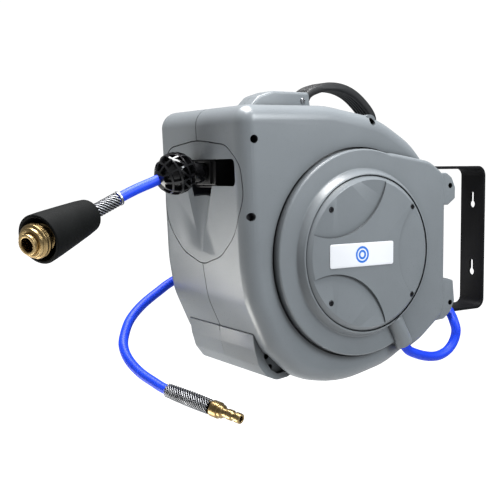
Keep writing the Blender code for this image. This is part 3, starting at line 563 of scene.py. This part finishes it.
def make_screw(name, place, head_radius, head_height, shank_radius, length):
    """Cross-head screw whose head's top is at its local origin."""
    dome = softened([(0, 0), (head_radius * 0.8, 0), (head_radius, -head_height * 0.35),
                     (head_radius, -head_height), (shank_radius, -head_height), (shank_radius, -length),
                     (0, -length)], head_radius * 0.12)
    screw = lathe(name, dome, place, 32)
    arm = head_radius * 0.62
    turned = place @ Matrix.Rotation(math.radians(10), 4, 'Z')
    for a, b in ((arm, arm * 0.25), (arm * 0.25, arm)):
        cut(screw, slab('recess', [box_outline(-a, a, -b, b)], -head_height * 0.6, 2, turned))
    return screw


def handle_outline(above, below):
    """Side outline of the handle at the given distances above and below its middle line."""
    path = smooth_path([(a, b, 0) for a, b in HANDLE_SPINE], 6)
    upper = []
    lower = []
    for i, point in enumerate(path):
        ahead = path[min(i + 1, len(path) - 1)] - path[max(i - 1, 0)]
        normal = Vector((-ahead.y, ahead.x, 0)).normalized()
        upper.append(tuple((point + normal * above)[:2]))
        lower.append(tuple((point - normal * below)[:2]))
    return upper + lower[::-1]


def make_handle():
    """Carrying handle with ribs along its grip."""
    half_width = 13.2
    rib_pitch = 5.1
    rib_half = 1.5
    handle = slab('grip', [handle_outline(4.6, 4.2)], -half_width, half_width, SIDE, 1.8, 3)
    for i in range(-2, 3):
        middle = i * rib_pitch
        rib = slab('rib', [handle_outline(5.6, 5.2)], middle - rib_half, middle + rib_half, SIDE, 0.6, 2)
        add(handle, rib)
    return handle


# ---------------------------------------------------------------- bracket

def make_bracket():
    """Steel strap bent to a C, with keyholes for the wall and holes for the rod."""
    back, front, top, bottom = PLATE_BACK, PIVOT_Y - STRAP_HALF_WIDTH, ARM_TOP, ARM_BOTTOM
    inner = back - STRAP
    outline = [(front, top, 0), (back, top, 14), (back, bottom, 14), (front, bottom, 0),
               (front, bottom + STRAP, 0), (inner, bottom + STRAP, 10), (inner, top - STRAP, 10),
               (front, top - STRAP, 0)]
    strap = slab('strap', [rounded(outline)], -STRAP_HALF_WIDTH, STRAP_HALF_WIDTH, SIDE, 0.5, 2)
    plan = [(-STRAP_HALF_WIDTH, front, 21), (STRAP_HALF_WIDTH, front, 21),
            (STRAP_HALF_WIDTH + 1, back + 9, 0), (-STRAP_HALF_WIDTH - 1, back + 9, 0)]
    keep(strap, slab('strap_plan', [rounded(plan)], -120, 120, TOP))
    cut(strap, slab('rod_holes', [circle_outline(ROD_RADIUS + 0.1, 0, PIVOT_Y)], -130, 130, TOP))
    for height in KEYHOLES:
        neck = rounded([(-3, height, 0), (3, height, 0), (3, height + 18, 2.9), (-3, height + 18, 2.9)])
        for outline in (circle_outline(5.3, 0, height), neck):
            cut(strap, slab('keyhole', [outline], -PLATE_BACK - 8, -PLATE_BACK + 18, FRONT))
    return strap


def make_pivot():
    """Rod with its head, the nut under it and the two washers."""
    upright = columns((1, 0, 0), (0, 1, 0), (0, 0, 1), (0, PIVOT_Y, 0))
    rest = ARM_TOP + 0.2
    profile = softened([(0, 107), (9.5, 107), (9.5, rest), (ROD_RADIUS, rest), (ROD_RADIUS, -112),
                        (0, -112)], 0.8)
    stand_in(lathe('rod', profile, upright), 'pivot_rod')
    outlines = [circle_outline(9.6, 0, PIVOT_Y, 6), circle_outline(ROD_RADIUS + 0.1, 0, PIVOT_Y)]
    stand_in(slab('nut', outlines, ARM_BOTTOM - 6.6, ARM_BOTTOM - 0.2, TOP, 0.3, 2), 'pivot_nut')
    for node, low in (('washer_top', BARREL_HIGH + 0.3), ('washer_bottom', ARM_BOTTOM + STRAP + 0.3)):
        ring = ring_profile([(12.5, low + 3.4), (12.5, low), (ROD_RADIUS + 0.2, low),
                             (ROD_RADIUS + 0.2, low + 3.4)], 0.5)
        stand_in(lathe(node + '_ring', ring, upright, ring=True), node)


# ---------------------------------------------------------------- hoses and fittings

def make_ball():
    """Stop ball in two clamped halves, a lattice of ribs over a smaller core."""
    rings = 7
    segments = 10
    rib = 1.1
    rib_bevel = 0.35
    pocket_depth = 5.0
    belt_height = 0.3 * BALL_RADIUS * MM
    hub_height = 0.84 * BALL_RADIUS * MM
    exit_axis = Vector((0, -0.94, -0.34)).normalized()
    for node, sign in (('stop_ball_near', 1), ('stop_ball_far', -1)):
        mesh = bpy.data.meshes.new('lattice_' + node)
        work = bmesh.new()
        bmesh.ops.create_uvsphere(work, u_segments=segments, v_segments=rings, radius=BALL_RADIUS * MM)
        belt = [face for face in work.faces if abs(face.calc_center_median().z) < belt_height]
        bmesh.ops.triangulate(work, faces=belt, quad_method='ALTERNATE')
        level = work.verts.layers.float.new('level')
        pockets = [face for face in work.faces if abs(face.calc_center_median().z) < hub_height]
        bmesh.ops.inset_individual(work, faces=pockets, thickness=rib * MM, use_even_offset=True)
        bmesh.ops.inset_individual(work, faces=pockets, thickness=rib_bevel * MM, use_even_offset=True)
        for face in pockets:
            for vert in face.verts:
                vert[level] = 1.0
        bmesh.ops.subdivide_edges(work, edges=work.edges, cuts=3, use_grid_fill=True)
        for vert in work.verts:
            vert.co = vert.co.normalized() * (BALL_RADIUS - pocket_depth * vert[level]) * MM
        work.to_mesh(mesh)
        work.free()
        ball = mesh_object('ball_' + node, mesh, along(BALL_CENTRE, exit_axis))
        cut(ball, tube('ball_bore', [smooth_path(OUTLET_PATH, 4)[10:34]], HOSE_RADIUS + 0.5, TOP, 5))
        low, high = signed(0.1, 40, sign)
        keep(ball, slab('ball_half', [box_outline(-240, -140, 50, 140)], low, high, SIDE))
        stand_in(ball, node, 28)


def make_guide_face():
    """Black neck behind the ball, the guide's face round it, and dark discs deep in the open edge holes as painted
    shade.
    """
    place = along((0, 0, EXIT_HEIGHT), (0, -1, 0))
    neck = ring_profile([(9.5, 176), (11.5, 172), (11.5, 152.5), (HOSE_RADIUS + 0.4, 152.5),
                         (HOSE_RADIUS + 0.4, 176)], 0.8)
    extra(lathe('ball_neck', neck, place, ring=True), 'hose_run', 'gloss_black')
    outlines = [box_outline(-26, 26, WINDOW_LOW + 0.6, WINDOW_HIGH - 0.6, 4),
                circle_outline(8.5, 0, EXIT_HEIGHT)]
    face = slab('guide_face', outlines, 150.4, 152.0, FRONT, 0.4, 2)
    for offset in (-17.5, 17.5):
        add(face, slab('guide_ridge', [box_outline(offset - 0.9, offset + 0.9, 82, 108, 0.8)],
                       151, 155, FRONT, 0.4, 2))
    extra(face, 'housing', 'black_plastic')
    # Dark disc inside each open edge screw hole: painted shade for the depth of the hole.
    plug = softened([(0, -8), (4.5, -8), (4.5, -10), (0, -10)], 0.3)
    for side, sign in (('near', 1), ('far', -1)):
        spot = along((sign * HALF_WIDTH, *EDGE_SCREW), (sign, 0, 0))
        extra(lathe(f'edge_hole_shade_{side}', plug, spot), 'housing', 'dark_steel')


def strands(name, place, length, count, turns, radii, wire):
    """Guard of several wires wound side by side along local +Z, its radius following a list."""
    steps = 16
    paths = []
    for start in range(count):
        path = []
        total = round(turns * steps)
        for i in range(total + 1):
            t = i / total
            spot = t * (len(radii) - 1)
            k = min(int(spot), len(radii) - 2)
            radius = radii[k] + (radii[k + 1] - radii[k]) * (spot - k)
            angle = 2 * math.pi * (turns * t + start / count)
            path.append((radius * math.cos(angle), radius * math.sin(angle), length * t))
        paths.append(path)
    return tube(name, paths, wire, place, 2)


def make_outlet():
    """Outlet hose with its guard, rubber boot and quick coupler."""
    stand_in(tube('hose_out', [smooth_path(OUTLET_PATH)], HOSE_RADIUS), 'outlet_hose')
    axis = COUPLER_START - GUARD_START
    length = 36.5
    guard = strands('guard_out', along(GUARD_START, axis), length, 12, 0.8, [7.3, 7.3], 0.8)
    stand_in(guard, 'outlet_guard', 60)
    bore = HOSE_RADIUS + 0.1
    core = ring_profile([(bore, 0), (bore, length), (6.5, length), (6.5, 0)], 0.05)
    extra(lathe('guard_core', core, along(GUARD_START, axis), ring=True), 'hose_run', 'black_rubber')
    collar = ring_profile([(8.3, 2.9), (8.3, 0), (6.3, 0), (6.3, 2.9)], 0.5)
    place = along(GUARD_START - axis.normalized() * 4.2, axis)
    stand_in(lathe('collar', collar, place, ring=True), 'outlet_collar')
    place = along(COUPLER_START, COUPLER_AXIS)
    boot = ring_profile([(23.6, 84.7), (26.2, 84.2), (25.2, 70), (22.6, 44), (19.8, 18), (17.8, 5),
                         (11.5, 1.2), (11.5, 6), (16.8, 24), (18.2, 50), (22.4, 84)], 5.0, 8)
    stand_in(lathe('boot', boot, place, 96, ring=True), 'rubber_boot', 60)
    shape = softened([(0, 52), (7.4, 52), (7.4, 99.8), (7.9, 101), (10.9, 101), (10.9, 78), (12.5, 77),
                      (14.5, 76), (14.5, 62), (12.5, 61), (12.5, 16), (0, 16)], 0.5)
    stand_in(lathe('coupler', shape, place), 'coupler_body')
    sleeve = ring_profile([(14.2, 96.5), (15.6, 95.4), (15.6, 93), (17.2, 92.2), (18.1, 91), (18.1, 89),
                           (17.2, 88.4), (17.2, 87.4), (18.1, 86.8), (18.1, 84.5), (17.2, 83.4),
                           (11.05, 83.4), (11.05, 96.5)], 0.45)
    stand_in(lathe('sleeve', sleeve, place, ring=True), 'release_sleeve')
    poppet = softened([(0, 84), (3, 84), (7.0, 80), (7.0, 74), (3.2, 72), (3.2, 66), (0, 66)], 0.7)
    stand_in(lathe('poppet', poppet, place), 'valve_poppet')


def make_inlet():
    """Fixed inlet hose that runs round behind the reel to its guard and plug."""
    stand_in(tube('hose_in', [smooth_path(INLET_PATH)], HOSE_RADIUS), 'inlet_hose')
    start = Vector(INLET_PATH[-2])
    axis = PLUG_START - start
    frame_in = along(start, axis)
    length = 64
    guard = strands('guard_in', frame_in, length, 14, 1.3, [7.6, 8.2, 8.6, 8.6, 8.2], 0.85)
    stand_in(guard, 'inlet_guard', 60)
    bore = HOSE_RADIUS + 0.2
    liner = ring_profile([(bore, 0), (bore, length), (6.5, length), (7.6, length / 2), (6.5, 0)], 0.1)
    extra(lathe('guard_liner', liner, frame_in, ring=True), 'housing', 'black_rubber')
    plug = softened([(0, 12), (3.4, 12), (3.4, 40), (5.6, 40), (6.0, 39), (6.0, 33), (4.8, 31.6), (4.8, 29.4),
                     (6.2, 28), (6.2, 22), (5.4, 21), (5.4, 16), (7.2, 15), (8.0, 14), (8.0, 10.5),
                     (9.6, 9.6), (9.6, 0), (0, 0)], 0.4)
    place = along(start + axis.normalized() * 68, axis)
    stand_in(lathe('plug', plug, place), 'inlet_plug')


def make_fixings():
    """Screws of the covers and shells, the handle's screw and the blank label."""
    for side, sign in (('near', 1), ('far', -1)):
        for i, (a, b) in enumerate(COVER_SCREWS):
            place = along((sign * (COVER_FACE - 0.5), a, b), (sign, 0, 0))
            stand_in(make_screw(f'cap_{side}_{i}', place, 3.1, 1.9, 1.5, 12), f'cover_screw_{side}_{i}')
    for i, (a, b) in enumerate(SHELL_SCREWS):
        stand_in(make_screw(f'deep_screw_{i}', along((76, a, b), (1, 0, 0)), 4.2, 3, 2, 5.4),
                 f'shell_screw_{i}')
    for sign, side in ((1, 'near'), (-1, 'far')):
        place = along((sign * 18.4, -22, 181), (sign, 0, 0))
        extra(make_screw(f'handle_screw_{side}', place, 3.4, 1.8, 1.2, 2.2), 'housing', 'bright_steel')
    outline = box_outline(-60.6, 33, -13.6, 13.6, 2.5)
    stand_in(slab('film', [outline], COVER_FACE + 0.05, COVER_FACE + 0.6, SIDE, 0.1, 1), 'label')


# ---------------------------------------------------------------- finishes

def node_of(tree, kind, inputs=None, **settings):
    """Shader node with its settings and input values."""
    made = tree.nodes.new(kind)
    for key, value in settings.items():
        setattr(made, key, value)
    for key, value in (inputs or {}).items():
        made.inputs[key].default_value = value
    return made


def finish_of(name, dark, light, roughness, metallic=0.0, grain=900.0, bump=0.1, drift=9.0, fixed=None):
    """Principled finish whose colour and roughness drift, over a fine surface grain."""
    made = bpy.data.materials.new(name)
    made.use_nodes = True
    tree = made.node_tree
    link = tree.links.new
    shader = tree.nodes['Principled BSDF']
    shader.inputs['Metallic'].default_value = metallic
    for key, value in (fixed or {}).items():
        shader.inputs[key].default_value = value
    place = node_of(tree, 'ShaderNodeTexCoord')
    broad = node_of(tree, 'ShaderNodeTexNoise', {'Scale': drift, 'Detail': 5.0, 'Roughness': 0.6})
    link(place.outputs['Object'], broad.inputs['Vector'])
    tint = node_of(tree, 'ShaderNodeValToRGB')
    tint.color_ramp.elements[0].position = 0.35
    tint.color_ramp.elements[1].position = 0.65
    tint.color_ramp.elements[0].color = (*dark, 1)
    tint.color_ramp.elements[1].color = (*light, 1)
    link(broad.outputs['Fac'], tint.inputs['Fac'])
    link(tint.outputs['Color'], shader.inputs['Base Color'])
    low, high = roughness
    gloss = node_of(tree, 'ShaderNodeMapRange',
                    {'From Min': 0.3, 'From Max': 0.7, 'To Min': low, 'To Max': high})
    fine = node_of(tree, 'ShaderNodeTexNoise', {'Scale': grain, 'Detail': 3.0})
    link(place.outputs['Object'], fine.inputs['Vector'])
    link(fine.outputs['Fac'], gloss.inputs['Value'])
    link(gloss.outputs['Result'], shader.inputs['Roughness'])
    raised = node_of(tree, 'ShaderNodeBump', {'Strength': bump, 'Distance': 0.0004})
    link(fine.outputs['Fac'], raised.inputs['Height'])
    link(raised.outputs['Normal'], shader.inputs['Normal'])
    return made


def paint_crevice_shade(made, reach, floor):
    """Paint shade into a finish's colour in its grooves and corners, where light hardly gets in."""
    tree = made.node_tree
    link = tree.links.new
    shader = tree.nodes['Principled BSDF']
    colour = shader.inputs['Base Color'].links[0].from_socket
    # Ambient occlusion decides where painted shade darkens the colour.
    occlusion_shade = node_of(tree, 'ShaderNodeAmbientOcclusion', {'Distance': reach}, samples=8)
    depth = node_of(tree, 'ShaderNodeMapRange',
                    {'From Min': 0.25, 'From Max': 0.92, 'To Min': floor, 'To Max': 1.0})
    link(occlusion_shade.outputs['AO'], depth.inputs['Value'])
    shaded = node_of(tree, 'ShaderNodeVectorMath', operation='SCALE')
    link(colour, shaded.inputs[0])
    link(depth.outputs['Result'], shaded.inputs['Scale'])
    link(shaded.outputs['Vector'], shader.inputs['Base Color'])
    return made


def label_finish():
    """White film with two plain blue rings in its middle."""
    made = finish_of('blank_label', (0.70, 0.71, 0.74), (0.76, 0.77, 0.80), (0.30, 0.38),
                     grain=400, bump=0.02)
    tree = made.node_tree
    link = tree.links.new
    shader = tree.nodes['Principled BSDF']
    paper = shader.inputs['Base Color'].links[0].from_socket
    middle = DRUM_AXIS + Vector((0, -14, 0)) * MM
    place = node_of(tree, 'ShaderNodeTexCoord')
    offset = node_of(tree, 'ShaderNodeVectorMath', {1: middle}, operation='SUBTRACT')
    link(place.outputs['Object'], offset.inputs[0])
    flat = node_of(tree, 'ShaderNodeVectorMath', {1: (0, 1, 1)}, operation='MULTIPLY')
    link(offset.outputs['Vector'], flat.inputs[0])
    reach = node_of(tree, 'ShaderNodeVectorMath', operation='LENGTH')
    link(flat.outputs['Vector'], reach.inputs[0])
    marks = []
    half_line = 1.3 * MM
    for radius in (4.2 * MM, 8.4 * MM):
        ring = node_of(tree, 'ShaderNodeMath', {1: radius, 2: half_line}, operation='COMPARE')
        link(reach.outputs['Value'], ring.inputs[0])
        marks.append(ring)
    both = node_of(tree, 'ShaderNodeMath', operation='MAXIMUM')
    link(marks[0].outputs['Value'], both.inputs[0])
    link(marks[1].outputs['Value'], both.inputs[1])
    printed = node_of(tree, 'ShaderNodeMix', {'B': (0.02, 0.16, 0.62, 1)}, data_type='RGBA')
    link(both.outputs['Value'], printed.inputs['Factor'])
    link(paper, printed.inputs['A'])
    link(printed.outputs['Result'], shader.inputs['Base Color'])
    return made


def make_looks():
    """Finish of every material slot."""
    shell = finish_of('shell_plastic', (0.160, 0.174, 0.186), (0.178, 0.194, 0.207), (0.27, 0.36), bump=0.08)
    return {
        # The housing plastic gets painted shade in its grooves, steps and scoop, from ambient occlusion within 16
        # mm.
        'shell_plastic': paint_crevice_shade(shell, 16 * MM, 0.10),
        'black_plastic': finish_of('black_plastic', (0.008, 0.008, 0.009), (0.014, 0.014, 0.015),
                                   (0.34, 0.48), bump=0.10, fixed={'Specular IOR Level': 0.35}),
        'gloss_black': finish_of('gloss_black', (0.006, 0.006, 0.007), (0.010, 0.010, 0.011), (0.10, 0.18),
                                 grain=300, bump=0.03),
        'blue_hose': finish_of('blue_hose', (0.006, 0.040, 0.62), (0.012, 0.060, 0.72), (0.42, 0.48),
                               grain=300, bump=0.0, drift=22, fixed={'Specular IOR Level': 0.25}),
        'black_rubber': finish_of('black_rubber', (0.003, 0.0033, 0.0033), (0.007, 0.0075, 0.0075),
                                  (0.62, 0.78), grain=1200, bump=0.3, fixed={'Specular IOR Level': 0.08}),
        'brass': finish_of('brass', (0.25, 0.17, 0.075), (0.44, 0.32, 0.155), (0.24, 0.36), 1.0,
                           grain=900, bump=0.03, drift=40),
        'bright_steel': finish_of('bright_steel', (0.16, 0.165, 0.175), (0.34, 0.345, 0.36),
                                  (0.26, 0.40), 1.0, grain=900, bump=0.03, drift=40),
        'dark_steel': finish_of('dark_steel', (0.03, 0.03, 0.033), (0.07, 0.07, 0.075), (0.3, 0.45), 1.0),
        'roller_nylon': finish_of('roller_nylon', (0.03, 0.03, 0.032), (0.05, 0.05, 0.052), (0.4, 0.5)),
        'black_powder_coat': finish_of('black_powder_coat', (0.005, 0.005, 0.006), (0.009, 0.009, 0.010),
                                       (0.42, 0.56), grain=700, bump=0.2, fixed={'Specular IOR Level': 0.08}),
        'blank_label': label_finish(),
    }


# ---------------------------------------------------------------- stage, lights and camera

def make_floor(low, high):
    """Wide pale floor well below the reel, as under a reel on a wall."""
    drop = Vector((0, 0, 1.1))
    under = Vector(((low.x + high.x) / 2, (low.y + high.y) / 2, low.z))
    bpy.ops.mesh.primitive_plane_add(size=40, location=under - drop)
    floor = bpy.context.object
    floor.name = 'floor'
    look = bpy.data.materials.new('pale_floor')
    look.use_nodes = True
    shader = look.node_tree.nodes['Principled BSDF']
    shader.inputs['Base Color'].default_value = (0.8, 0.8, 0.8, 1)
    shader.inputs['Roughness'].default_value = 0.9
    shader.inputs['Emission Color'].default_value = (1, 1, 1, 1)
    path = look.node_tree.nodes.new('ShaderNodeLightPath')
    look.node_tree.links.new(path.outputs['Is Camera Ray'], shader.inputs['Emission Strength'])
    floor.data.materials.append(look)


def make_world():
    """White surroundings, dimmer as a light than as a background."""
    world = bpy.data.worlds.new('studio')
    bpy.context.scene.world = world
    world.use_nodes = True
    tree = world.node_tree
    tree.nodes.clear()
    seen = node_of(tree, 'ShaderNodeBackground', {'Color': (1, 1, 1, 1), 'Strength': 1.05})
    lit = node_of(tree, 'ShaderNodeBackground', {'Color': (0.97, 0.985, 1, 1), 'Strength': 0.24})
    path = node_of(tree, 'ShaderNodeLightPath')
    mix = node_of(tree, 'ShaderNodeMixShader')
    out = node_of(tree, 'ShaderNodeOutputWorld')
    tree.links.new(path.outputs['Is Camera Ray'], mix.inputs['Fac'])
    tree.links.new(lit.outputs['Background'], mix.inputs[1])
    tree.links.new(seen.outputs['Background'], mix.inputs[2])
    tree.links.new(mix.outputs['Shader'], out.inputs['Surface'])


def softbox(name, spot, target, size, power, colour=(1, 1, 1)):
    """Rectangular light at a spot, turned to a target and hidden from the camera."""
    data = bpy.data.lights.new(name, 'AREA')
    data.shape = 'RECTANGLE'
    data.size, data.size_y = size
    data.energy = power
    data.color = colour
    lamp = bpy.data.objects.new(name, data)
    bpy.context.scene.collection.objects.link(lamp)
    lamp.location = spot
    lamp.rotation_euler = (Vector(target) - Vector(spot)).to_track_quat('-Z', 'Y').to_euler()
    lamp.visible_camera = False


def make_lights(centre):
    """Low front light, a narrow one mirrored in the front face, and lights for the side and top."""
    softbox('front', centre + Vector((-0.42, -0.85, -0.75)), centre + Vector((0, -0.1, -0.08)),
            (0.6, 0.5), 9, (1, 0.985, 0.94))
    front_face = DRUM_AXIS + Vector((0.06, -0.16, -0.04))
    softbox('front_stripe', front_face + Vector((-1.28, -0.86, -0.36)), front_face, (0.2, 0.55), 4.6,
            (1, 0.99, 0.96))
    softbox('side', centre + Vector((1.9, 0.8, 1.2)), centre, (0.9, 1.1), 50, (0.92, 0.97, 1))
    softbox('top', centre + Vector((0.0, -0.1, 1.7)), centre, (1.5, 0.9), 98)


def make_camera():
    """Camera level with the label side's front quarter, aimed between the cover and the outlet."""
    low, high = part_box('near_cover')
    centre = Vector((high.x, (low.y + high.y) / 2, (low.z + high.z) / 2))
    azimuth = math.radians(49.3)
    elevation = math.radians(5.55)
    roll = math.radians(-0.5)
    distance = 1.036
    aim = centre + Vector((0, -167, 14)) * MM
    away = Vector((math.sin(azimuth) * math.cos(elevation), -math.cos(azimuth) * math.cos(elevation),
                   math.sin(elevation)))
    spot = centre + away * distance
    forward = (aim - spot).normalized()
    level = forward.cross(Vector((0, 0, 1))).normalized()
    upright = level.cross(forward)
    right = level * math.cos(roll) + upright * math.sin(roll)
    up = right.cross(forward)
    data = bpy.data.cameras.new('camera')
    data.lens = 63.97
    data.sensor_width = 36
    data.clip_start = 0.01
    camera = bpy.data.objects.new('camera', data)
    bpy.context.scene.collection.objects.link(camera)
    camera.matrix_world = Matrix((right, up, -forward)).transposed().to_4x4()
    camera.location = spot
    bpy.context.scene.camera = camera


# ---------------------------------------------------------------- the whole

LOOKS = make_looks()
for node, obj in frame["nodes"].items():
    dress(obj, SLOT_OF[node])
    shade(obj, 30)
for side, sign in (('near', 1), ('far', -1)):
    stand_in(make_shell(f'{side}_half', sign), f'{side}_shell')
    stand_in(make_cover(f'{side}_cap', sign), f'{side}_cover')
stand_in(make_mouth_panel(), 'mouth_panel')
stand_in(make_handle(), 'handle')
stand_in(make_bracket(), 'wall_bracket')
make_pivot()
make_ball()
make_guide_face()
make_outlet()
make_inlet()
make_fixings()
make_floor(*cad_box)
make_world()
make_lights((cad_box[0] + cad_box[1]) / 2)
make_camera()
bpy.context.scene.view_settings.view_transform = 'Standard'
